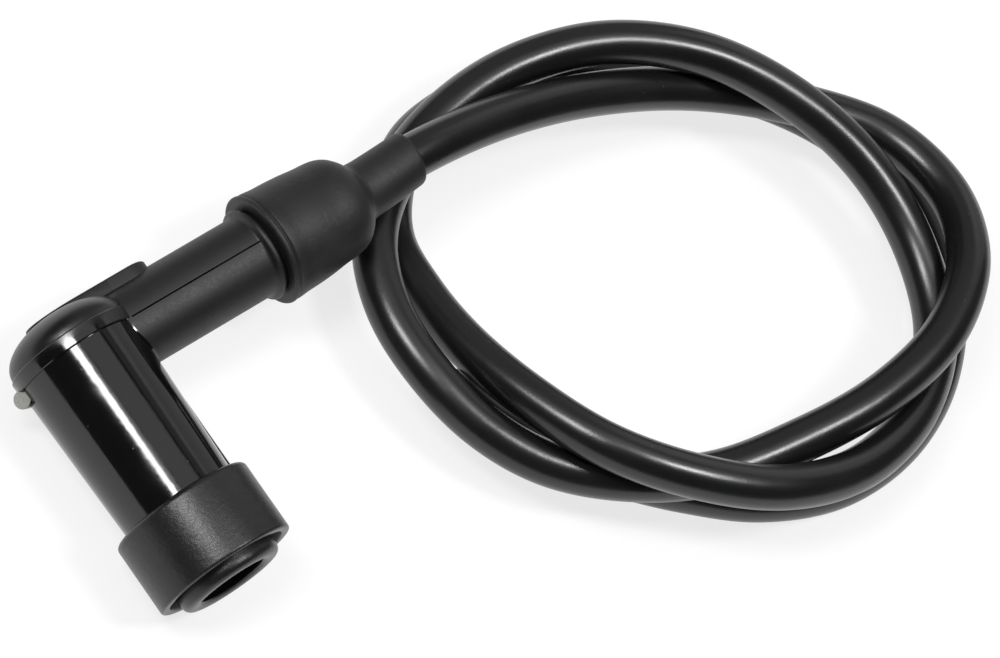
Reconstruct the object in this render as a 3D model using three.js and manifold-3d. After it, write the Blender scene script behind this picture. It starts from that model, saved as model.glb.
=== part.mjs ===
// A motorcycle-style ignition lead: a right-angle spark plug cap with its rubber collar and boot,
// and about 0.8 m of 7 mm lead lying in three loose loops. Millimetres, +Z up.
import * as THREE from 'three';
import { mergeVertices } from 'three/addons/utils/BufferGeometryUtils.js';
import Module from 'manifold-3d';

const wasm = await Module();
wasm.setup();

// Driving dimensions
const CLEARANCE = 0.3;
const AROUND = 40;

// Plug tube: its axis is horizontal and runs from the corner of the elbow towards -Y
const plugTubeRootRadius = 9.7;
const plugTubeRadius = 9.0;
const plugTubeTaperLength = 25.5;
const plugTubeLength = 34;
const socketBoreRadius = 6.0;
const socketBoreFloor = 17.5;
const resistorBoreRadius = 3.3;

// Domed corner
const rimRadius = 10.1;
const rimWidth = 2.3;
const domeRadius = 9.8;
const domeHeight = 7.3;
const domeFullness = 2.15;

// Wire tube: it leaves the corner along +X and rises a little
const wireTubeTilt = THREE.MathUtils.degToRad(7);
const wireTubeRadius = 6.5;
const wireTubeLength = 46;
const wireRingRadius = 7.4;
const wireRingStart = 31.4;
const wireRingWidth = 1.6;
const leadSeat = 26;
const leadBoreClearance = 0.5;

// Flat pad along the back of the wire tube
const padReach = 7.4;
const padHalfWidth = 3.7;
const padStart = -4.4;
const padStartRound = 8;
const padEnd = 16.8;

// Small marks of the moulding
const ribHeight = 0.5;
const ribWidth = 0.9;
const ribStart = 4;
const ribEnd = 25;
const gateRadius = 1.4;
const gateLength = 2.6;
const gateLean = THREE.MathUtils.degToRad(50);
const gatePlace = new THREE.Vector3(-10.25, -0.85, -2.2);

// Rubber collar at the plug's end
const sealRadius = 11.15;
const sealStart = 26;
const sealRimEnd = 38;
const sealWeb = 1.9;
const sealLipRadius = 8.3;
const sealLipEnd = 40;
const sealHoleRadius = 5.1;
const sealRimWall = 1.5;

// Rubber boot at the wire's end
const bootStart = 33.3;
const bootLipRadius = 8.9;
const bootMiddleRadius = 8.4;
const bootShoulderRadius = 7.9;
const bootShoulderEnd = 47.8;
const sleeveStart = 51.4;
const sleeveRadius = 4.6;
const sleeveEndRadius = 4.35;
const sleeveEnd = 61.9;
const sleeveLean = 0.75;

// Pieces inside
const contactBlockRadius = 2.9;
const contactBlockHalfLength = 2.6;
const resistorRadius = 2.9;
const resistorLength = 9.6;
const springWire = 0.5;
const springTurns = 3;
const springRadius = 2.4;
const springLength = 4.4;
const terminalRadius = 4.4;
const terminalWall = 0.9;
const terminalBase = 1.5;
const terminalLength = 13;
const terminalFlangeRadius = 5.7;
const clipWire = 0.8;
const clipSetback = 4.5;
const clipOpening = THREE.MathUtils.degToRad(70);
const screwRadius = 1.5;
const screwSpike = 9;
const screwHeadRadius = 3.2;
const screwHeadWidth = 1.4;

// Lead
const leadRadius = 3.5;
const leadSides = 10;
const leadSteps = 80;

// Worked out from these
const cornerHeight = sealRadius;
const tiltCos = Math.cos(wireTubeTilt);
const tiltSin = Math.sin(wireTubeTilt);
const leadBoreRadius = leadRadius + leadBoreClearance;
const capEast = wireTubeLength * tiltCos + wireTubeRadius * tiltSin;
const leadBoreFloor = leadSeat - screwHeadWidth - 2 * CLEARANCE;
const cornerPlace = new THREE.Vector3(
  (sealRadius - capEast) / 2, (sealLipEnd - padReach) / 2, cornerHeight,
);

// The lead's route over the surface, in millimetres from the point below the elbow's corner. It is one
// smooth curve through points chosen by hand from the photograph: out of the cap's wire tube, three loops,
// and the bare end.
const looseRoute = [
  [80, 0, 17], [100, -3.6, 13.6], [118, -10.4, 11], [132, -20.4, 10.6], [141, -32, 12.2],
  [142.2, -45, 14.6], [136, -56, 17.2], [123.6, -64, 18], [108, -67, 16.6], [92, -66, 14],
  [77.6, -63, 11.6], [65, -56.4, 10.2], [55.6, -48, 9.6], [50, -38, 9.8], [47.6, -26.4, 10.4],
  [48.4, -16, 10.4], [53, -6.4, 10.2], [61, 0.4, 10.4], [73, 5.2, 12.2], [88, 6.4, 14.6],
  [103.6, 2.4, 17], [117, -7, 18.2], [126.4, -19.6, 17.4], [132.4, -34, 14.8], [133, -48.4, 12],
  [127.6, -62, 10.6], [115.6, -71, 11.4], [99, -74.4, 13.8], [83, -71, 16.8], [70.4, -62.4, 17.8],
  [61.6, -51.6, 17], [57.6, -39, 13.6], [56.4, -26.4, 9.4], [57.6, -15.6, 5.8], [60, -6, 3.6],
  [65, 1, 3.6], [73, 6.4, 3.6], [86, 7.8, 3.6], [102, 4, 3.6], [118, -4, 3.6], [131.6, -14.4, 3.6],
  [140.4, -27.6, 3.6], [143, -42, 3.6], [139, -55.6, 3.6], [128.4, -67, 3.6], [115.6, -73, 3.6],
  [101, -74, 3.6], [87.6, -69.6, 3.6], [76.4, -61.6, 3.6], [67, -52.6, 3.6], [59.4, -43.2, 3.6],
  [55.2, -35.8, 3.6], [52.6, -29.4, 3.6],
];
const routeInsideTube = [leadSeat, 38, 50, 62];

const hardPlastic = new THREE.MeshStandardMaterial({ color: 0x0b0b0c, roughness: 0.25, metalness: 0 });
const collarRubber = new THREE.MeshStandardMaterial({ color: 0x262728, roughness: 0.85, metalness: 0 });
const bootRubber = new THREE.MeshStandardMaterial({ color: 0x2a2b2c, roughness: 0.85, metalness: 0 });
const leadJacket = new THREE.MeshStandardMaterial({ color: 0x121213, roughness: 0.45, metalness: 0 });
const brass = new THREE.MeshStandardMaterial({ color: 0xb08d3e, roughness: 0.35, metalness: 1 });
const ceramic = new THREE.MeshStandardMaterial({ color: 0xe4dfd2, roughness: 0.4, metalness: 0 });
const springSteel = new THREE.MeshStandardMaterial({ color: 0x9b9c9e, roughness: 0.35, metalness: 1 });

// Booleans on closed meshes
function bare(geometry) {
  const copy = geometry.clone();
  copy.deleteAttribute('normal');
  copy.deleteAttribute('uv');
  return mergeVertices(copy, 1e-4);
}

function toSolid(geometry) {
  const mesh = bare(geometry);
  return new wasm.Manifold(new wasm.Mesh({
    numProp: 3,
    vertProperties: new Float32Array(mesh.attributes.position.array),
    triVerts: new Uint32Array(mesh.index.array),
  }));
}

function toGeometry(solid) {
  const mesh = solid.getMesh();
  const geometry = new THREE.BufferGeometry();
  geometry.setAttribute('position', new THREE.BufferAttribute(new Float32Array(mesh.vertProperties), 3));
  geometry.setIndex(new THREE.BufferAttribute(new Uint32Array(mesh.triVerts), 1));
  geometry.computeVertexNormals();
  return geometry;
}

function join(solids) {
  return solids.reduce((all, solid) => all.add(solid));
}

function cut(solid, tools) {
  return tools.reduce((rest, tool) => rest.subtract(tool), solid);
}

// A profile of [radius, distance] pairs turned about +Y, which is a lathe's own axis
function turned(pairs, segments = AROUND) {
  return new THREE.LatheGeometry(pairs.map(([radius, along]) => new THREE.Vector2(radius, along)), segments);
}

function closed(pairs) {
  return [...pairs, pairs[0]];
}

// Part of a circle about (radius, along), between two angles, as profile points
function arc(radius, along, size, from, to, steps = 4) {
  const points = [];
  for (let i = 0; i <= steps; i += 1) {
    const angle = THREE.MathUtils.degToRad(from + ((to - from) * i) / steps);
    points.push([radius + size * Math.cos(angle), along + size * Math.sin(angle)]);
  }
  return points;
}

// Lathe axis +Y laid along the plug's direction, -Y, or along the wire tube's direction, near +X
const alongPlug = new THREE.Matrix4().makeRotationX(Math.PI);
const alongWire = new THREE.Matrix4().makeRotationY(-wireTubeTilt)
  .multiply(new THREE.Matrix4().makeRotationZ(-Math.PI / 2));

function rod(radius, from, to, matrix, segments = AROUND) {
  const geometry = turned([[0, from], [radius, from], [radius, to], [0, to]], segments);
  return toSolid(geometry.applyMatrix4(matrix));
}

// The boot's sleeve and the lead in it lean a little towards +Y beyond the wire tube's end
function leanAt(along) {
  const share = Math.max(along - wireTubeLength, 0) / (sleeveEnd - wireTubeLength);
  return sleeveLean * share * share;
}

function part(name, solid, material) {
  const mesh = new THREE.Mesh(toGeometry(solid), material);
  mesh.name = name;
  return mesh;
}

// The elbow
function plugTubeShape() {
  const profile = [
    [0, -rimWidth / 2], [plugTubeRootRadius, -rimWidth / 2], [plugTubeRadius, plugTubeTaperLength],
    [plugTubeRadius, plugTubeLength], [0, plugTubeLength],
  ];
  return toSolid(turned(profile).applyMatrix4(alongPlug));
}

function domeShape() {
  const crown = [];
  const crownSteps = 7;
  for (let i = 0; i <= crownSteps; i += 1) {
    const angle = (Math.PI / 2) * (1 - i / crownSteps);
    const radius = i === 0 ? 0 : domeRadius * Math.cos(angle) ** (2 / domeFullness);
    const rise = (domeHeight - rimWidth) * Math.sin(angle) ** (2 / domeFullness);
    crown.push([radius, -(rimWidth + rise)]);
  }
  return toSolid(turned([...crown, [rimRadius, -rimWidth], [rimRadius, 0], [0, 0]]).applyMatrix4(alongPlug));
}

function wireTubeShape() {
  const ringMiddle = wireRingStart + wireRingWidth / 2;
  const ringSlope = (wireRingRadius - wireTubeRadius) / 2;
  const profile = [
    [0, 0], [wireTubeRadius, 0],
    [wireTubeRadius, wireRingStart], [wireRingRadius, wireRingStart + ringSlope],
    [wireRingRadius, 2 * ringMiddle - wireRingStart - ringSlope],
    [wireTubeRadius, 2 * ringMiddle - wireRingStart],
    [wireTubeRadius, wireTubeLength], [0, wireTubeLength],
  ];
  return toSolid(turned(profile).applyMatrix4(alongWire));
}

function padShape() {
  const outline = new THREE.Shape();
  outline.absarc(padEnd - padHalfWidth, 0, padHalfWidth, -Math.PI / 2, Math.PI / 2, false);
  const startRoundAt = padStart + padStartRound;
  const threeQuarters = (3 * Math.PI) / 2;
  outline.absellipse(startRoundAt, 0, padStartRound, padHalfWidth, Math.PI / 2, threeQuarters, false);
  outline.closePath();
  const root = wireTubeRadius / 4;
  const shape = { depth: padReach - root, bevelEnabled: false, curveSegments: 12 };
  const block = new THREE.ExtrudeGeometry(outline, shape);
  block.rotateX(-Math.PI / 2);
  block.translate(0, root, 0);
  block.applyMatrix4(new THREE.Matrix4().makeRotationY(-wireTubeTilt));
  return toSolid(block);
}

function ribShape() {
  const rib = new THREE.BoxGeometry(ribHeight + 1, ribEnd - ribStart, ribWidth);
  rib.translate(plugTubeRadius + (ribHeight - 1) / 2 + 0.2, -(ribStart + ribEnd) / 2, 0);
  rib.rotateY(-wireTubeTilt);
  return toSolid(rib);
}

// The stub of the moulding's runner: it lies across the rim, with its broken face turned up
function gateShape() {
  const stub = new THREE.CylinderGeometry(gateRadius, gateRadius, gateLength, 16);
  stub.translate(0, -gateLength / 2, 0);
  stub.rotateZ(Math.PI / 2);
  stub.rotateY(Math.PI / 2 - gateLean);
  stub.translate(gatePlace.x, gatePlace.y, gatePlace.z);
  return toSolid(stub);
}

function capBody() {
  const outside = join([plugTubeShape(), domeShape(), wireTubeShape(), padShape(), ribShape(), gateShape()]);
  const chamberEnd = contactBlockHalfLength + CLEARANCE;
  return cut(outside, [
    rod(socketBoreRadius, socketBoreFloor, plugTubeLength + 1, alongPlug),
    rod(resistorBoreRadius, -chamberEnd, socketBoreFloor + 1, alongPlug),
    rod(leadBoreRadius, leadBoreFloor, wireTubeLength + 1, alongWire, leadSides * 3),
    rod(screwRadius + CLEARANCE, 0, leadSeat, alongWire, 20),
  ]);
}

// Collar and boot
function plugSeal() {
  const inner = plugTubeRadius + CLEARANCE;
  const webStart = plugTubeLength + CLEARANCE;
  const lipMiddle = (sealLipRadius + sealHoleRadius) / 2;
  const lipRound = (sealLipRadius - sealHoleRadius) / 2;
  const backRound = 1.3;
  return toSolid(turned(closed([
    [inner, sealStart], [sealRadius - backRound, sealStart],
    ...arc(sealRadius - backRound, sealStart + backRound, backRound, -60, 0, 3),
    [sealRadius, sealRimEnd - 0.4], [sealRadius - 0.4, sealRimEnd],
    [sealRadius - sealRimWall, sealRimEnd], [sealRadius - sealRimWall - 0.3, webStart + sealWeb],
    [sealLipRadius, webStart + sealWeb],
    ...arc(lipMiddle, sealLipEnd - lipRound, lipRound, 0, 180, 8),
    [sealHoleRadius, webStart], [inner, webStart],
  ])).applyMatrix4(alongPlug));
}

function wireBoot() {
  const inner = wireTubeRadius + CLEARANCE;
  const floor = wireTubeLength + CLEARANCE;
  const boot = toSolid(turned(closed([
    [inner, bootStart], [bootLipRadius - 0.4, bootStart], [bootLipRadius, bootStart + 0.3],
    [bootLipRadius, bootStart + 0.8], [bootLipRadius - 0.3, bootStart + 1.1],
    [bootMiddleRadius, 41.6], [bootShoulderRadius + 0.1, 44.4], [bootShoulderRadius, bootShoulderEnd - 0.6],
    [bootShoulderRadius - 0.5, bootShoulderEnd + 0.9], [bootShoulderRadius - 1.7, bootShoulderEnd + 2.3],
    [sleeveRadius + 0.25, bootShoulderEnd + 3.3], [sleeveRadius, sleeveStart + 0.3],
    [sleeveEndRadius, sleeveEnd], [leadBoreRadius, sleeveEnd], [leadBoreRadius, floor], [inner, floor],
  ])).applyMatrix4(alongWire));
  return boot.warp((point) => {
    point[1] += leanAt(point[0] * tiltCos + point[2] * tiltSin);
  });
}

// Pieces inside
function contactBlock() {
  const block = rod(contactBlockRadius, -contactBlockHalfLength, contactBlockHalfLength, alongPlug, 24);
  return cut(block, [rod(screwRadius + CLEARANCE, 0, leadSeat, alongWire, 20)]);
}

const resistorStart = contactBlockHalfLength + CLEARANCE;
const springStart = resistorStart + resistorLength + CLEARANCE;
const terminalStart = socketBoreFloor + CLEARANCE;

function resistor() {
  const capEdge = 0.4;
  const end = resistorStart + resistorLength;
  return toSolid(turned([
    [0, resistorStart], [resistorRadius - capEdge, resistorStart], [resistorRadius, resistorStart + capEdge],
    [resistorRadius, end - capEdge], [resistorRadius - capEdge, end], [0, end],
  ], 24).applyMatrix4(alongPlug));
}

class Helix extends THREE.Curve {
  getPoint(t) {
    const angle = 2 * Math.PI * springTurns * t;
    const along = springStart + springWire / 2 + (springLength - springWire) * t;
    const radius = springRadius - springWire / 2;
    return new THREE.Vector3(radius * Math.cos(angle), -along, radius * Math.sin(angle));
  }
}

function ring(sides, radius) {
  const shape = new THREE.Shape();
  for (let i = 0; i < sides; i += 1) {
    const angle = (2 * Math.PI * i) / sides;
    const [x, y] = [radius * Math.cos(angle), radius * Math.sin(angle)];
    if (i === 0) shape.moveTo(x, y);
    else shape.lineTo(x, y);
  }
  shape.closePath();
  return shape;
}

function swept(curve, steps, sides, radius) {
  const shape = { extrudePath: curve, steps, bevelEnabled: false };
  return toSolid(new THREE.ExtrudeGeometry(ring(sides, radius), shape));
}

function contactSpring() {
  return swept(new Helix(), springTurns * 12, 6, springWire / 2);
}

function plugTerminal() {
  const inner = terminalRadius - terminalWall;
  const floor = terminalStart + terminalBase;
  const end = terminalStart + terminalLength;
  return toSolid(turned([
    [0, terminalStart], [terminalFlangeRadius, terminalStart], [terminalFlangeRadius, floor],
    [terminalRadius, floor], [terminalRadius, end], [inner, end], [inner, floor], [0, floor],
  ], 32).applyMatrix4(alongPlug));
}

class ClipRing extends THREE.Curve {
  getPoint(t) {
    const angle = clipOpening / 2 + (2 * Math.PI - clipOpening) * t;
    const radius = terminalRadius + CLEARANCE + clipWire / 2;
    const along = terminalStart + terminalLength - clipSetback;
    return new THREE.Vector3(radius * Math.cos(angle), -along, radius * Math.sin(angle));
  }
}

function terminalClip() {
  return swept(new ClipRing(), 20, 6, clipWire / 2);
}

function leadScrew() {
  const shankStart = 0.3;
  const headStart = leadSeat - CLEARANCE - screwHeadWidth;
  const headEnd = leadSeat - CLEARANCE;
  const tip = leadSeat + screwSpike;
  const profile = [
    [0, shankStart], [screwRadius, shankStart], [screwRadius, headStart], [screwHeadRadius, headStart],
    [screwHeadRadius, headEnd], [screwRadius * 0.8, headEnd], [screwRadius * 0.8, tip - 2], [0, tip],
  ];
  return toSolid(turned(profile, 20).applyMatrix4(alongWire));
}

// The lead, with the hole that the screw's spike makes in its end
function leadCurve() {
  const inTube = routeInsideTube.map(
    (along) => new THREE.Vector3(along * tiltCos, leanAt(along), along * tiltSin),
  );
  const loose = looseRoute.map(([x, y, z]) => new THREE.Vector3(x, y, z - cornerHeight));
  return new THREE.CatmullRomCurve3([...inTube, ...loose], false, 'centripetal');
}

function ignitionLead() {
  const tube = swept(leadCurve(), leadSteps, leadSides, leadRadius);
  return cut(tube, [rod(screwRadius, leadSeat - 1, leadSeat + screwSpike + 1, alongWire, 16)]);
}

const sparkPlugWire = new THREE.Group();
sparkPlugWire.add(
  part('cap_body', capBody(), hardPlastic),
  part('plug_seal', plugSeal(), collarRubber),
  part('wire_boot', wireBoot(), bootRubber),
  part('ignition_lead', ignitionLead(), leadJacket),
  part('lead_screw', leadScrew(), brass),
  part('contact_block', contactBlock(), brass),
  part('resistor', resistor(), ceramic),
  part('contact_spring', contactSpring(), springSteel),
  part('plug_terminal', plugTerminal(), brass),
  part('terminal_clip', terminalClip(), springSteel),
);
sparkPlugWire.position.copy(cornerPlace);
sparkPlugWire.updateMatrixWorld(true);

export default sparkPlugWire;
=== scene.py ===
"""Looks of the ignition lead: camera, light, the lead, its rubber pieces, the elbow and the inner pieces."""
import math

import bmesh
import bpy
from mathutils import Matrix, Vector


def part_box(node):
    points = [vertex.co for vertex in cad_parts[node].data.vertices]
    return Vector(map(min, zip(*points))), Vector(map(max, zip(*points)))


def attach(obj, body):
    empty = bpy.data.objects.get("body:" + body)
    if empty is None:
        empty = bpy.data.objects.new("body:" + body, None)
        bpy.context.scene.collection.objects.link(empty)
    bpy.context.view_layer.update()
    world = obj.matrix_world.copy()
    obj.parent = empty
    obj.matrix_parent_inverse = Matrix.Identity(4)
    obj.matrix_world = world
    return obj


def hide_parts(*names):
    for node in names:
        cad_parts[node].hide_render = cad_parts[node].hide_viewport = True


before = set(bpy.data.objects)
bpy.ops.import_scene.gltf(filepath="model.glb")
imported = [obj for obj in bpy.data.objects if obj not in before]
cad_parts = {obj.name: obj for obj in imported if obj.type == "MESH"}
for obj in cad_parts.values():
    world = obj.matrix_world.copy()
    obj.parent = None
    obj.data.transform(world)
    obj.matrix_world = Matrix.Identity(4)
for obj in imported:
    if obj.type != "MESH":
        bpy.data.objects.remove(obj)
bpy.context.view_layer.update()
MM = 0.001

# The corner of the elbow is the middle of the contact block, and the tilt of the wire tube is the source's
block_low, block_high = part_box("contact_block")
CORNER = (block_low + block_high) / 2
TILT = math.radians(7)
ALONG_PLUG = Matrix.Translation(CORNER) @ Matrix.Rotation(math.pi, 4, "X")
WIRE_FRAME = Matrix.Translation(CORNER) @ Matrix.Rotation(-TILT, 4, "Y")
ALONG_WIRE = WIRE_FRAME @ Matrix.Rotation(-math.pi / 2, 4, "Z")

# Sizes, in millimetres, as in the source
PLUG_ROOT_RADIUS = 9.7
PLUG_RADIUS = 9.0
PLUG_TAPER = 25.5
PLUG_LENGTH = 34
SOCKET_BORE = 6.0
SOCKET_FLOOR = 17.5
RESISTOR_BORE = 3.3
RESISTOR_BORE_END = 2.9
RIM_RADIUS = 10.1
RIM_WIDTH = 2.3
DOME_RADIUS = 9.8
DOME_HEIGHT = 7.3
DOME_FULLNESS = 2.15
WIRE_RADIUS = 6.5
WIRE_LENGTH = 46
RING_RADIUS = 7.4
RING_START = 31.4
RING_WIDTH = 1.6
RIB_START = 4
RIB_END = 25
RIB_HALF_WIDTH = 0.45
LEAD_SEAT = 26
LEAD_BORE_FLOOR = 24
LEAD_RADIUS = 3.5
LEAD_BORE = 4.0
SCREW_BORE = 1.8
PAD_REACH = 7.4
PAD_HALF_WIDTH = 3.7
PAD_START = -4.4
PAD_START_ROUND = 8
PAD_END = 16.8
CLEARANCE = 0.3
GATE_RADIUS = 1.4
GATE_LENGTH = 2.6
GATE_LEAN = math.radians(50)
GATE_PLACE = (-10.25, -0.85, -2.2)
SLEEVE_END = 61.9
SLEEVE_LEAN = 0.75

# Sizes that only the looks have, in millimetres: the rib's crest and shoulders, and the parting line
RIB_CREST = 10.0
RIB_SHOULDER = 9.85
PARTING_HALF_WIDTH = 0.12
PARTING_PROUD = 0.1
INSIDE_PLUG_TUBE = 8

# The lead's points, as in the source: along the wire tube's axis first, then from the point below the corner
ROUTE_INSIDE_TUBE = [LEAD_SEAT, 38, 50, 62]
LOOSE_ROUTE = [
    (80, 0, 17), (100, -3.6, 13.6), (118, -10.4, 11), (132, -20.4, 10.6), (141, -32, 12.2),
    (142.2, -45, 14.6), (136, -56, 17.2), (123.6, -64, 18), (108, -67, 16.6), (92, -66, 14),
    (77.6, -63, 11.6), (65, -56.4, 10.2), (55.6, -48, 9.6), (50, -38, 9.8), (47.6, -26.4, 10.4),
    (48.4, -16, 10.4), (53, -6.4, 10.2), (61, 0.4, 10.4), (73, 5.2, 12.2), (88, 6.4, 14.6),
    (103.6, 2.4, 17), (117, -7, 18.2), (126.4, -19.6, 17.4), (132.4, -34, 14.8), (133, -48.4, 12),
    (127.6, -62, 10.6), (115.6, -71, 11.4), (99, -74.4, 13.8), (83, -71, 16.8), (70.4, -62.4, 17.8),
    (61.6, -51.6, 17), (57.6, -39, 13.6), (56.4, -26.4, 9.4), (57.6, -15.6, 5.8), (60, -6, 3.6),
    (65, 1, 3.6), (73, 6.4, 3.6), (86, 7.8, 3.6), (102, 4, 3.6), (118, -4, 3.6), (131.6, -14.4, 3.6),
    (140.4, -27.6, 3.6), (143, -42, 3.6), (139, -55.6, 3.6), (128.4, -67, 3.6), (115.6, -73, 3.6),
    (101, -74, 3.6), (87.6, -69.6, 3.6), (76.4, -61.6, 3.6), (67, -52.6, 3.6), (59.4, -43.2, 3.6),
    (55.2, -35.8, 3.6), (52.6, -29.4, 3.6),
]
STEPS_PER_SPAN = 14

# Refraction of the glossy materials, roughness of the polished moulding, and what the satin finish adds
GLOSSY_IOR = 1.58
POLISHED = (0.09, 0.15)
SATIN_ADDS = (0.36, 0.48)
SATIN_ON_DOME = 0.62

# The floor's white, and the share and strength of its own light, which only camera and mirror rays see
PAPER = 0.93
FLOOR_SHARE = 0.74
FLOOR_STRENGTH = 1.05
SKY_STRENGTH = 0.05

# Lamps: LAMP_LINE is the direction of the photograph's width, on the ground, and LAMP_HEIGHT is in metres
LAMP_LINE = Vector((0.799, -0.602, 0))
LAMP_HEIGHT = 1.12
LAMP_WIDTH = 0.19
LEFT_LEVEL = 25
RIGHT_LEVEL = 36
MIDDLE_LEVEL = 2.2
PANEL_LEVEL = 0.8
OUTER_LEVEL = 0.24
SIDE_LEVEL = 0.5


# Camera
def add_camera():
    """The photograph looks steeply down on the surface, from far away, with the frame turned."""
    below_corner = Vector((CORNER.x, CORNER.y, 0))
    place = below_corner + Vector((-352.24, -143.65, 669.86)) * MM
    aim = below_corner + Vector((68.83, -25.4, 0)) * MM
    frame_up = Vector((0.4263, 0.8062, 0.4103))
    back = (place - aim).normalized()
    right = frame_up.cross(back).normalized()
    up = back.cross(right)
    data = bpy.data.cameras.new("camera")
    data.sensor_width = 36
    data.lens = 188.2
    data.clip_start = 0.05
    data.clip_end = 20
    camera = bpy.data.objects.new("camera", data)
    turn = Matrix((right, up, back)).transposed()
    camera.matrix_world = Matrix.Translation(place) @ turn.to_4x4()
    bpy.context.scene.collection.objects.link(camera)
    bpy.context.scene.camera = camera


# Shader helpers
class Shader:
    """A material's node tree, with one principled surface, built up by short calls."""

    def __init__(self, name):
        self.material = bpy.data.materials.new(name)
        self.material.use_nodes = True
        self.tree = self.material.node_tree
        self.surface = self.tree.nodes["Principled BSDF"]
        self.millimetres = self.add("ShaderNodeVectorMath", operation="SCALE")
        self.link(self.add("ShaderNodeTexCoord").outputs["Object"], self.millimetres.inputs[0])
        self.millimetres.inputs["Scale"].default_value = 1 / MM

    def add(self, kind, **settings):
        node = self.tree.nodes.new(kind)
        for key, value in settings.items():
            setattr(node, key, value)
        return node

    def link(self, source, target):
        self.tree.links.new(source, target)

    def stretched(self, scale, turn=(0, 0, 0)):
        mapping = self.add("ShaderNodeMapping")
        mapping.inputs["Scale"].default_value = scale
        mapping.inputs["Rotation"].default_value = turn
        self.link(self.millimetres.outputs[0], mapping.inputs["Vector"])
        return mapping.outputs[0]

    def noise(self, scale, detail=2, rough=0.5, coordinates=None):
        node = self.add("ShaderNodeTexNoise")
        node.inputs["Scale"].default_value = scale
        node.inputs["Detail"].default_value = detail
        node.inputs["Roughness"].default_value = rough
        self.link(coordinates or self.millimetres.outputs[0], node.inputs["Vector"])
        return node.outputs["Fac"]

    def specks(self, scale, size, share):
        """Small round dots, in a share of the cells of a cell pattern."""
        cells = self.add("ShaderNodeTexVoronoi")
        cells.inputs["Scale"].default_value = scale
        self.link(self.millimetres.outputs[0], cells.inputs["Vector"])
        near = self.ramp(cells.outputs["Distance"], size, 0.0)
        pick = self.add("ShaderNodeSeparateColor")
        self.link(cells.outputs["Color"], pick.inputs[0])
        chosen = self.ramp(pick.outputs[0], 1 - share, 1 - share + 0.02)
        return self.multiply(near, chosen)

    def ramp(self, value, low, high, start=0.0, end=1.0):
        node = self.add("ShaderNodeMapRange", clamp=True)
        node.inputs["From Min"].default_value = low
        node.inputs["From Max"].default_value = high
        node.inputs["To Min"].default_value = start
        node.inputs["To Max"].default_value = end
        self.link(value, node.inputs["Value"])
        return node.outputs["Result"]

    def math(self, operation, first, second):
        node = self.add("ShaderNodeMath", operation=operation)
        for value, socket in zip((first, second), node.inputs):
            if isinstance(value, (int, float)):
                socket.default_value = value
            else:
                self.link(value, socket)
        return node.outputs[0]

    def multiply(self, first, second):
        return self.math("MULTIPLY", first, second)

    def largest(self, first, second):
        return self.math("MAXIMUM", first, second)

    def blend(self, share, first, second):
        node = self.add("ShaderNodeMix", data_type="RGBA")
        self.link(share, node.inputs["Factor"])
        for value, socket in ((first, node.inputs[6]), (second, node.inputs[7])):
            if isinstance(value, tuple):
                socket.default_value = (*value, 1)
            else:
                self.link(value, socket)
        return node.outputs[2]

    def base(self, value):
        if isinstance(value, tuple):
            self.surface.inputs["Base Color"].default_value = (*value, 1)
        else:
            self.link(value, self.surface.inputs["Base Color"])

    def roughness(self, value):
        self.link(value, self.surface.inputs["Roughness"])

    def bump(self, height, depth):
        """Raises the surface by up to depth millimetres where height is 1."""
        node = self.add("ShaderNodeBump")
        node.inputs["Strength"].default_value = 1
        node.inputs["Distance"].default_value = depth * MM
        self.link(height, node.inputs["Height"])
        self.link(node.outputs[0], self.surface.inputs["Normal"])


# Materials
def hard_plastic():
    """Black moulding: the plug tube is polished, and the wire tube, the dome and the pad are satin."""
    look = Shader("hard_plastic")
    clouds = look.noise(0.35, 3)
    haze = look.ramp(look.noise(0.09, 4, 0.6), 0.42, 0.68)
    streaks = look.noise(1.1, 2, 0.5, look.stretched((0.12, 2.6, 1.4), (0.3, 0.2, 0.7)))
    scratches = look.ramp(streaks, 0.7, 0.74)
    dust = look.specks(0.75, 0.1, 0.1)
    frost = look.noise(2.4, 4, 0.7)
    place = look.add("ShaderNodeSeparateXYZ")
    look.link(look.millimetres.outputs[0], place.inputs[0])
    corner = CORNER / MM
    across = look.math("SUBTRACT", place.outputs["X"], corner.x)
    above = look.math("SUBTRACT", place.outputs["Z"], corner.z)
    square = look.math("ADD", look.multiply(across, across), look.multiply(above, above))
    outside = look.ramp(square, (PLUG_ROOT_RADIUS + 0.05) ** 2, (PLUG_ROOT_RADIUS + 0.2) ** 2)
    on_wire_tube = look.multiply(outside, look.ramp(across, 2, 5))
    rim_back = corner.y + RIM_WIDTH
    on_dome = look.ramp(place.outputs["Y"], rim_back - 1.4, rim_back + 0.2, 0, SATIN_ON_DOME)
    satin = look.largest(on_wire_tube, on_dome)
    black = look.blend(clouds, (0.0024, 0.0024, 0.0026), (0.0042, 0.0042, 0.0044))
    look.base(look.blend(dust, black, (0.09, 0.09, 0.093)))
    rough = look.ramp(haze, 0, 1, *POLISHED)
    rough = look.largest(rough, look.multiply(scratches, 0.18))
    rough = look.math("ADD", rough, look.multiply(satin, look.ramp(frost, 0.3, 0.7, *SATIN_ADDS)))
    look.roughness(look.largest(rough, look.multiply(dust, 0.6)))
    look.surface.inputs["IOR"].default_value = GLOSSY_IOR
    look.bump(look.math("ADD", look.noise(0.55, 1), look.multiply(look.multiply(frost, satin), 0.5)), 0.012)
    return look.material


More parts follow.
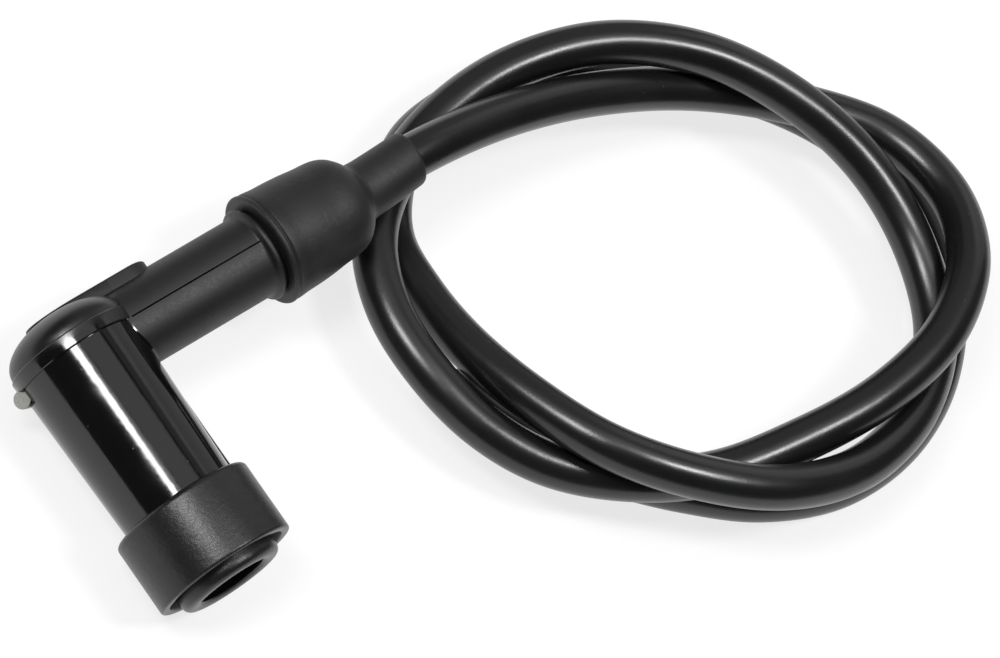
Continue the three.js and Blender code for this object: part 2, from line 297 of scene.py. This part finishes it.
def rubber(name, dark, light, worn, rough, speck_share):
    """Dull moulded rubber: a fine skin, pale dust in the skin, a few nicks and long faint scuffs."""
    look = Shader(name)
    patches = look.ramp(look.noise(0.16, 4, 0.6), 0.35, 0.68)
    grain = look.noise(5.5, 3, 0.6)
    streaks = look.noise(0.9, 3, 0.6, look.stretched((2.6, 0.22, 0.5), (0.2, 0.5, 0.9)))
    scuffs = look.ramp(streaks, 0.66, 0.74)
    specks = look.largest(look.specks(0.8, 0.13, speck_share), look.specks(1.9, 0.14, speck_share * 0.7))
    nicks = look.specks(0.32, 0.06, speck_share)
    colour = look.blend(patches, dark, light)
    colour = look.blend(look.multiply(scuffs, 0.4), colour, worn)
    colour = look.blend(look.multiply(specks, 0.62), colour, worn)
    look.base(look.blend(look.multiply(nicks, 0.8), colour, (0.3, 0.3, 0.29)))
    look.roughness(look.ramp(grain, 0.2, 0.8, rough - 0.08, rough + 0.08))
    height = look.math("ADD", look.multiply(grain, 0.5), look.multiply(look.noise(1.3, 2), 0.9))
    look.bump(look.math("ADD", height, look.multiply(nicks, -0.8)), 0.045)
    return look.material


def painted_shade_bore():
    """The collar's bore with painted shade: its rubber is coloured near black and reflects little, standing
    in for the shade deep inside the bore.
    """
    look = Shader("painted_shade_bore")
    look.base(look.blend(look.noise(1.2, 2), (0.0008, 0.0008, 0.0008), (0.0016, 0.0016, 0.0016)))
    look.surface.inputs["Roughness"].default_value = 0.8
    look.surface.inputs["IOR"].default_value = 1.12
    return look.material


def lead_jacket():
    look = Shader("lead_jacket")
    clouds = look.noise(0.06, 3, 0.6)
    grain = look.noise(3.5, 2, 0.5)
    dust = look.specks(0.5, 0.085, 0.14)
    colour = look.blend(clouds, (0.005, 0.0052, 0.0055), (0.009, 0.0092, 0.0096))
    look.base(look.blend(look.multiply(dust, 0.5), colour, (0.14, 0.14, 0.145)))
    look.roughness(look.ramp(clouds, 0.3, 0.7, 0.25, 0.31))
    look.surface.inputs["IOR"].default_value = GLOSSY_IOR
    look.bump(look.math("ADD", grain, look.multiply(look.noise(0.3, 1), 2.5)), 0.01)
    return look.material


def gate_break():
    """The pale broken face where the moulding was snapped off its runner."""
    look = Shader("gate_break")
    grain = look.noise(2.8, 4, 0.7)
    look.base(look.blend(grain, (0.24, 0.25, 0.22), (0.5, 0.52, 0.46)))
    look.roughness(look.ramp(grain, 0.2, 0.8, 0.55, 0.85))
    look.bump(grain, 0.12)
    return look.material


def metal(name, colour, tint, low, high):
    look = Shader(name)
    turning = look.noise(2.2, 3, 0.6, look.stretched((0.4, 3.5, 0.4)))
    look.base(look.blend(look.noise(0.5, 3), colour, tint))
    look.surface.inputs["Metallic"].default_value = 1
    look.roughness(look.ramp(turning, 0.25, 0.75, low, high))
    look.bump(turning, 0.008)
    return look.material


def ceramic():
    look = Shader("ceramic")
    grain = look.noise(1.4, 3)
    look.base(look.blend(grain, (0.74, 0.7, 0.61), (0.82, 0.79, 0.71)))
    look.roughness(look.ramp(grain, 0.3, 0.7, 0.25, 0.4))
    look.bump(grain, 0.01)
    return look.material


def cut_jacket():
    """The sawn end of the jacket."""
    look = Shader("cut_jacket")
    grain = look.noise(4, 3)
    look.base(look.blend(grain, (0.02, 0.02, 0.021), (0.05, 0.05, 0.052)))
    look.roughness(look.ramp(grain, 0.3, 0.7, 0.6, 0.8))
    look.bump(grain, 0.03)
    return look.material


# Mesh helpers
def new_piece(name, mesh, *materials, body="root"):
    piece = bpy.data.objects.new(name, mesh)
    bpy.context.scene.collection.objects.link(piece)
    for material in materials:
        mesh.materials.append(material)
    if body:
        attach(piece, body)
    return piece


def smooth(mesh, angle=32):
    mesh.polygons.foreach_set("use_smooth", [True] * len(mesh.polygons))
    mesh.set_sharp_from_angle(angle=math.radians(angle))


def turned(name, profile, matrix, segments=160, wobble=None):
    """A closed profile of (radius, along) millimetres, or one from axis to axis, turned about local +Y."""
    mesh = bpy.data.meshes.new(name)
    shape = bmesh.new()
    rings = []
    for radius, along in profile:
        if radius == 0:
            rings.append([shape.verts.new((0, along, 0))])
            continue
        ring = []
        for i in range(segments):
            angle = 2 * math.pi * i / segments
            r = radius + (wobble(radius, along, angle) if wobble else 0)
            ring.append(shape.verts.new((r * math.cos(angle), along, r * math.sin(angle))))
        rings.append(ring)
    on_axis = profile[0][0] == 0 and profile[-1][0] == 0
    pairs = list(zip(rings, rings[1:]))
    if not on_axis:
        pairs.append((rings[-1], rings[0]))
    for first, second in pairs:
        for i in range(segments):
            j = (i + 1) % segments
            corners = [
                first[i % len(first)], first[j % len(first)],
                second[j % len(second)], second[i % len(second)],
            ]
            unique = list(dict.fromkeys(corners))
            if len(unique) > 2:
                shape.faces.new(unique)
    shape.transform(Matrix.Scale(MM, 4))
    shape.transform(matrix)
    bmesh.ops.recalc_face_normals(shape, faces=shape.faces)
    shape.to_mesh(mesh)
    shape.free()
    return mesh


def rounded(profile, sizes, steps=4):
    """A profile whose corners are rounded: sizes holds the radius at each point, 0 for a sharp one."""
    points = []
    count = len(profile)
    for i, (corner, size) in enumerate(zip(profile, sizes)):
        if not size:
            points.append(corner)
            continue
        here = Vector(corner)
        before = Vector(profile[i - 1]) - here
        after = Vector(profile[(i + 1) % count]) - here
        reach = min(size, 0.49 * before.length, 0.49 * after.length)
        start = here + before.normalized() * reach
        end = here + after.normalized() * reach
        for k in range(steps + 1):
            t = k / steps
            point = start * (1 - t) ** 2 + here * (2 * t * (1 - t)) + end * t ** 2
            points.append((max(point.x, 0), point.y))
    return points


def extruded(name, outline, low, high, matrix, edge=0.0):
    """An outline of (x, z) millimetres carried from y = low to y = high, with the far edge rounded."""
    mesh = bpy.data.meshes.new(name)
    shape = bmesh.new()
    bottom = [shape.verts.new((x, low, z)) for x, z in outline]
    face = shape.faces.new(bottom)
    grown = bmesh.ops.extrude_face_region(shape, geom=[face])
    moved = [v for v in grown["geom"] if isinstance(v, bmesh.types.BMVert)]
    bmesh.ops.translate(shape, verts=moved, vec=(0, high - low, 0))
    bmesh.ops.recalc_face_normals(shape, faces=shape.faces)
    if edge:
        top = [e for e in shape.edges if all(abs(v.co.y - high) < 1e-6 for v in e.verts)]
        bmesh.ops.bevel(shape, geom=top, offset=edge, segments=4, affect="EDGES", profile=0.5)
    shape.transform(Matrix.Scale(MM, 4))
    shape.transform(matrix)
    shape.to_mesh(mesh)
    shape.free()
    return mesh


def combined(name, base, joined, cut):
    """The base mesh with the joined meshes added and the cut ones taken away, as one closed mesh."""
    holder = bpy.data.objects.new(name, base)
    bpy.context.scene.collection.objects.link(holder)
    helpers = []
    for operation, meshes in (("UNION", joined), ("DIFFERENCE", cut)):
        for mesh in meshes:
            helper = bpy.data.objects.new("helper", mesh)
            bpy.context.scene.collection.objects.link(helper)
            helpers.append(helper)
            step = holder.modifiers.new(operation.lower(), "BOOLEAN")
            step.operation = operation
            step.solver = "EXACT"
            step.object = helper
    bpy.context.view_layer.update()
    result = bpy.data.meshes.new_from_object(holder.evaluated_get(bpy.context.evaluated_depsgraph_get()))
    for item in [holder, *helpers]:
        bpy.data.objects.remove(item)
    result.name = name
    return result


# The lead
def lean_at(along):
    """How far the sleeve and the lead in it lean towards +Y, in millimetres."""
    return SLEEVE_LEAN * (max(along - WIRE_LENGTH, 0) / (SLEEVE_END - WIRE_LENGTH)) ** 2


def route_points():
    inside = []
    for along in ROUTE_INSIDE_TUBE:
        point = Vector((along * math.cos(TILT), lean_at(along), along * math.sin(TILT)))
        inside.append(point * MM + CORNER)
    ground = Vector((CORNER.x, CORNER.y, 0))
    return inside + [ground + Vector(point) * MM for point in LOOSE_ROUTE]


def smooth_route(points, steps):
    """Centripetal Catmull-Rom curve through the points."""
    ends = [2 * points[0] - points[1], *points, 2 * points[-1] - points[-2]]
    path = []
    for p0, p1, p2, p3 in zip(ends, ends[1:], ends[2:], ends[3:]):
        d0, d1, d2 = (math.sqrt((b - a).length) for a, b in ((p0, p1), (p1, p2), (p2, p3)))
        start = ((p1 - p0) / d0 - (p2 - p0) / (d0 + d1) + (p2 - p1) / d1) * d1
        end = ((p2 - p1) / d1 - (p3 - p1) / (d1 + d2) + (p3 - p2) / d2) * d1
        for k in range(steps):
            t = k / steps
            a, b = t ** 3, t ** 2
            leaving = (2 * a - 3 * b + 1) * p1 + (a - 2 * b + t) * start
            path.append(leaving + (3 * b - 2 * a) * p2 + (a - b) * end)
    path.append(points[-1])
    return path


def add_lead(path):
    curve = bpy.data.curves.new("lead", "CURVE")
    curve.dimensions = "3D"
    curve.bevel_depth = LEAD_RADIUS * MM
    curve.bevel_resolution = 10
    curve.use_fill_caps = True
    line = curve.splines.new("POLY")
    line.points.add(len(path) - 1)
    for point, place in zip(line.points, path):
        point.co = (*place, 1)
    line.use_smooth = True
    lead = bpy.data.objects.new("lead", curve)
    bpy.context.scene.collection.objects.link(lead)
    curve.materials.append(lead_jacket())
    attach(lead, "root")
    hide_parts("ignition_lead")
    return lead


def add_lead_end(path, brass_look):
    """The cut end: the jacket's sawn face and the seven strands of the core."""
    back = (path[-2] - path[-1]).normalized()
    side = back.cross(Vector((0, 0, 1))).normalized()
    up = side.cross(back)
    place = Matrix.Translation(path[-1]) @ Matrix((side, -back, up)).transposed().to_4x4()
    depth, proud, radius = 0.4, 0.12, 3.32
    face = rounded([(0, -depth), (radius, -depth), (radius, proud), (0, proud)], [0, 0, 0.15, 0])
    mesh = turned("lead_cut_face", face, place, 64)
    smooth(mesh)
    cut = new_piece("lead_cut_face", mesh, cut_jacket())
    shape = bmesh.new()
    spacing = 0.72
    strand_radius = 0.3492
    lying = Matrix.Rotation(math.pi / 2, 4, "X")
    for k in range(7):
        angle = math.pi * k / 3
        offset = 0 if k == 6 else spacing
        centre = Matrix.Translation((offset * math.cos(angle), proud, offset * math.sin(angle)))
        bmesh.ops.create_cone(shape, cap_ends=True, segments=20, radius1=strand_radius,
                              radius2=strand_radius, depth=depth, matrix=centre @ lying)
    shape.transform(Matrix.Scale(MM, 4))
    shape.transform(place)
    core_mesh = bpy.data.meshes.new("lead_core")
    shape.to_mesh(core_mesh)
    shape.free()
    smooth(core_mesh)
    core = new_piece("lead_core", core_mesh, brass_look)
    return cut, core


# The rubber boot on the lead
def add_boot():
    inner = WIRE_RADIUS + CLEARANCE
    floor = WIRE_LENGTH + CLEARANCE
    profile = [
        (inner, 33.3), (8.6, 33.3), (8.9, 33.55), (8.9, 34.05), (8.55, 34.25), (8.85, 34.5), (8.85, 35.2),
        (8.68, 36.6), (8.6, 39), (8.4, 41.6), (8.05, 44.2), (7.95, 46), (7.75, 47.5), (7.2, 48.9),
        (6.2, 50.1), (5.1, 50.95), (4.7, 51.6), (4.58, 53), (4.5, 57), (4.38, 61.5), (4.25, SLEEVE_END),
        (LEAD_BORE, SLEEVE_END), (LEAD_BORE, floor), (inner, floor),
    ]
    sizes = [
        0, 0.25, 0.25, 0.25, 0.2, 0.2, 0.8, 1, 1.2, 1.4, 1, 0.9,
        1, 1, 1, 0.9, 0.7, 1, 2, 0.2, 0.2, 0, 0, 0,
    ]

    def wobble(radius, along, angle):
        if radius <= inner or along < 34.4 or along > 61:
            return 0
        swell = 0.05 * math.sin(2 * angle + 0.16 * along) + 0.035 * math.sin(3 * angle - 0.31 * along + 1.2)
        return swell * (0.45 if along > 51 else 1)

    mesh = turned("boot", rounded(profile, sizes), ALONG_WIRE, 144, wobble)
    axis = Vector((math.cos(TILT), 0, math.sin(TILT)))
    for vertex in mesh.vertices:
        vertex.co.y += lean_at((vertex.co - CORNER).dot(axis) / MM) * MM
    smooth(mesh, 40)
    boot = new_piece("boot", mesh, rubber("boot_rubber", (0.009, 0.0092, 0.0095), (0.016, 0.0163, 0.0167),
                                                 (0.08, 0.08, 0.08), 0.53, 0.12))
    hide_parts("wire_boot")
    return boot


# The rubber collar at the plug's end
def add_collar():
    inner = PLUG_RADIUS + CLEARANCE
    hole = 5.1
    web = PLUG_LENGTH + CLEARANCE
    groove = web + 1.9
    profile = [
        (inner, 26), (9.9, 26), (11.15, 26.4), (11.15, 38), (9.75, 38), (9.35, groove), (8.3, groove),
        (8.3, 40), (hole, 40), (hole, web), (inner, web),
    ]
    sizes = [0.2, 0.6, 1.3, 0.5, 0.3, 0.25, 0.25, 1.55, 1.55, 0.3, 0]
    mesh = turned("collar", rounded(profile, sizes, 7), ALONG_PLUG, 176)
    smooth(mesh, 40)
    look = rubber("collar_rubber", (0.008, 0.0082, 0.0085), (0.013, 0.0133, 0.0137),
                  (0.07, 0.07, 0.07), 0.34, 0.06)
    collar = new_piece("collar", mesh, look, painted_shade_bore())
    # The bore's faces take the painted-shade material, which colours the bore near black as if in deep shade.
    for face in mesh.polygons:
        arm = face.center - CORNER
        near_axis = math.hypot(arm.x, arm.z) / MM < hole + 0.25
        faces_axis = face.normal.dot(Vector((arm.x, 0, arm.z))) < 0
        face.material_index = 1 if near_axis and faces_axis else 0
    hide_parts("plug_seal")


# The moulded elbow
def dome_profile():
    """From the crown on the axis down to the rim, which stands a little proud of the dome."""
    steps = 22
    crown = []
    for i in range(steps + 1):
        angle = math.pi / 2 * (1 - i / steps)
        radius = DOME_RADIUS * math.cos(angle) ** (2 / DOME_FULLNESS) if i else 0
        rise = (DOME_HEIGHT - RIM_WIDTH) * math.sin(angle) ** (2 / DOME_FULLNESS)
        crown.append((radius, -(RIM_WIDTH + rise)))
    rim = [(9.86, -2.27), (9.96, -2.2), (RIM_RADIUS, -2.05), (RIM_RADIUS, -0.15), (9.97, 0), (0, 0)]
    return crown + rim


def round_bar(half_width, start, start_round, end, steps=20):
    """Outline of a bar with one round end and one longer drawn-out end, as (x, z) points."""
    points = []
    round_end = (end - half_width, half_width, math.pi / 2)
    drawn_out_end = (start + start_round, start_round, -math.pi / 2)
    for centre, reach, first in (round_end, drawn_out_end):
        for k in range(steps + 1):
            angle = first - math.pi * k / steps
            points.append((centre + reach * math.cos(angle), half_width * math.sin(angle)))
    return points


def add_elbow():
    plug_tube = turned("elbow_base", [
        (0, -1.5), (PLUG_ROOT_RADIUS, -1.5), (PLUG_RADIUS, PLUG_TAPER),
        (PLUG_RADIUS, PLUG_LENGTH), (0, PLUG_LENGTH),
    ], ALONG_PLUG, 192)
    dome = turned("dome", dome_profile(), ALONG_PLUG, 192)
    ring = RING_START, RING_START + RING_WIDTH
    wire_tube = turned("wire_tube", rounded([
        (0, 0), (WIRE_RADIUS, 0), (WIRE_RADIUS, ring[0]), (RING_RADIUS, ring[0] + 0.4),
        (RING_RADIUS, ring[1] - 0.4), (WIRE_RADIUS, ring[1]), (WIRE_RADIUS, WIRE_LENGTH), (0, WIRE_LENGTH),
    ], [0, 0, 0.4, 0.4, 0.4, 0.4, 0.3, 0]), ALONG_WIRE, 128)
    pad_outline = round_bar(PAD_HALF_WIDTH, PAD_START, PAD_START_ROUND, PAD_END)
    pad = extruded("pad", pad_outline, 1.6, PAD_REACH, WIRE_FRAME, 0.35)
    proud = WIRE_RADIUS + PARTING_PROUD
    parting = extruded("parting", [
        (INSIDE_PLUG_TUBE, -proud), (RING_START, -proud), (RING_START, proud), (INSIDE_PLUG_TUBE, proud),
    ], -PARTING_HALF_WIDTH, PARTING_HALF_WIDTH, WIRE_FRAME)
    rib = extruded("rib", [
        (INSIDE_PLUG_TUBE, -RIB_HALF_WIDTH), (RIB_SHOULDER, -RIB_HALF_WIDTH), (RIB_CREST, 0),
        (RIB_SHOULDER, RIB_HALF_WIDTH), (INSIDE_PLUG_TUBE, RIB_HALF_WIDTH),
    ], -RIB_END, -RIB_START, WIRE_FRAME)
    gate_centre = CORNER + Vector(GATE_PLACE) * MM
    gate_turn = Matrix.Rotation(math.pi / 2 - GATE_LEAN, 4, "Y") @ Matrix.Rotation(math.pi / 2, 4, "Z")
    stub = [(0, -GATE_LENGTH), (GATE_RADIUS, -GATE_LENGTH), (GATE_RADIUS, 0), (0, 0)]
    gate_place = Matrix.Translation(gate_centre) @ gate_turn
    gate = turned("gate", rounded(stub, [0, 0, 0.2, 0]), gate_place, 40)
    bores = [
        turned("bore", [(0, low), (radius, low), (radius, high), (0, high)], matrix, segments)
        for radius, low, high, matrix, segments in (
            (SOCKET_BORE, SOCKET_FLOOR, PLUG_LENGTH + 2, ALONG_PLUG, 96),
            (RESISTOR_BORE, -RESISTOR_BORE_END, SOCKET_FLOOR + 1, ALONG_PLUG, 64),
            (LEAD_BORE, LEAD_BORE_FLOOR, WIRE_LENGTH + 1, ALONG_WIRE, 64),
            (SCREW_BORE, 0, LEAD_SEAT, ALONG_WIRE, 32),
        )
    ]
    mesh = combined("elbow", plug_tube, [dome, wire_tube, pad, parting, rib, gate], bores)
    smooth(mesh, 26)
    elbow = new_piece("elbow", mesh, hard_plastic(), gate_break())
    facing = gate_turn.to_3x3() @ Vector((0, 1, 0))
    for face in mesh.polygons:
        from_gate = face.center - gate_centre
        near = from_gate.length < 1.05 * GATE_RADIUS * MM and from_gate.dot(facing) > -0.15 * MM
        face.material_index = 1 if near and face.normal.dot(facing) > 0.6 else 0
    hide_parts("cap_body")


# The pieces inside keep their own solids
def dress_inner_pieces(brass_look):
    steel = metal("spring_steel", (0.5, 0.5, 0.52), (0.6, 0.6, 0.61), 0.22, 0.38)
    looks = {
        "lead_screw": brass_look, "contact_block": brass_look, "plug_terminal": brass_look,
        "resistor": ceramic(), "contact_spring": steel, "terminal_clip": steel,
    }
    for node, look in looks.items():
        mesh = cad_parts[node].data
        mesh.materials.clear()
        mesh.materials.append(look)


# Stage and light
def add_floor():
    material = bpy.data.materials.new("floor")
    material.use_nodes = True
    tree = material.node_tree
    tree.nodes.clear()
    paper = tree.nodes.new("ShaderNodeBsdfDiffuse")
    paper.inputs["Color"].default_value = (PAPER, PAPER, PAPER, 1)
    white = tree.nodes.new("ShaderNodeEmission")
    rays = tree.nodes.new("ShaderNodeLightPath")
    seen = tree.nodes.new("ShaderNodeMath")
    seen.operation = "MAXIMUM"
    share = tree.nodes.new("ShaderNodeMath")
    share.operation = "MULTIPLY"
    share.inputs[1].default_value = FLOOR_SHARE
    white.inputs["Strength"].default_value = FLOOR_STRENGTH
    mix = tree.nodes.new("ShaderNodeMixShader")
    out = tree.nodes.new("ShaderNodeOutputMaterial")
    tree.links.new(rays.outputs["Is Camera Ray"], seen.inputs[0])
    tree.links.new(rays.outputs["Is Glossy Ray"], seen.inputs[1])
    tree.links.new(seen.outputs[0], share.inputs[0])
    tree.links.new(share.outputs[0], mix.inputs[0])
    tree.links.new(paper.outputs[0], mix.inputs[1])
    tree.links.new(white.outputs[0], mix.inputs[2])
    tree.links.new(mix.outputs[0], out.inputs[0])
    mesh = bpy.data.meshes.new("floor")
    reach = 4
    corners = [(-reach, -reach, 0), (reach, -reach, 0), (reach, reach, 0), (-reach, reach, 0)]
    mesh.from_pydata(corners, [], [(0, 1, 2, 3)])
    floor = new_piece("floor", mesh, material, body=None)
    floor.location.z = -0.0001


def add_panel(name, place, width, length, level, line=LAMP_LINE):
    """A rectangular lamp whose length runs along the line, facing the middle of the object."""
    data = bpy.data.lights.new(name, "AREA")
    data.shape = "RECTANGLE"
    data.size = width
    data.size_y = length
    data.energy = level * math.pi * width * length
    panel = bpy.data.objects.new(name, data)
    away = (Vector(place) - Vector((0.04, -0.02, 0))).normalized()
    along = (line - away * line.dot(away)).normalized()
    panel.matrix_world = (Matrix.Translation(place)
                          @ Matrix((along.cross(away), along, away)).transposed().to_4x4())
    bpy.context.scene.collection.objects.link(panel)


def add_light():
    """Two bright lamps overhead, a faint one between them, and three faint panels to the right and behind."""
    add_panel("left lamp", (-0.559, 0.28, LAMP_HEIGHT), 1.3 * LAMP_WIDTH, 0.42, LEFT_LEVEL)
    add_panel("right lamp", (0.26, -0.337, LAMP_HEIGHT), LAMP_WIDTH, 0.26, RIGHT_LEVEL)
    add_panel("middle lamp", (-0.117, -0.053, LAMP_HEIGHT), LAMP_WIDTH, 0.68, MIDDLE_LEVEL)
    add_panel("panel", (0.22, 0.15, 1.14), 0.5, 1.4, PANEL_LEVEL)
    add_panel("outer", (0.74, 0.84, 0.8), 1.3, 1.6, OUTER_LEVEL)
    add_panel("side", (1.1, 0.22, 0.5), 0.9, 0.7, SIDE_LEVEL, Vector((0, 1, 0)))
    world = bpy.data.worlds.new("world")
    world.use_nodes = True
    sky = world.node_tree.nodes["Background"]
    sky.inputs["Color"].default_value = (1, 1, 1, 1)
    sky.inputs["Strength"].default_value = SKY_STRENGTH
    bpy.context.scene.world = world
    bpy.context.scene.view_settings.view_transform = "Standard"


add_camera()
brass = metal("brass", (0.55, 0.38, 0.15), (0.66, 0.47, 0.2), 0.2, 0.36)
lead_path = smooth_route(route_points(), STEPS_PER_SPAN)
lead = add_lead(lead_path)
lead_end = add_lead_end(lead_path, brass)
boot = add_boot()
add_collar()
add_elbow()
dress_inner_pieces(brass)
add_floor()
add_light()
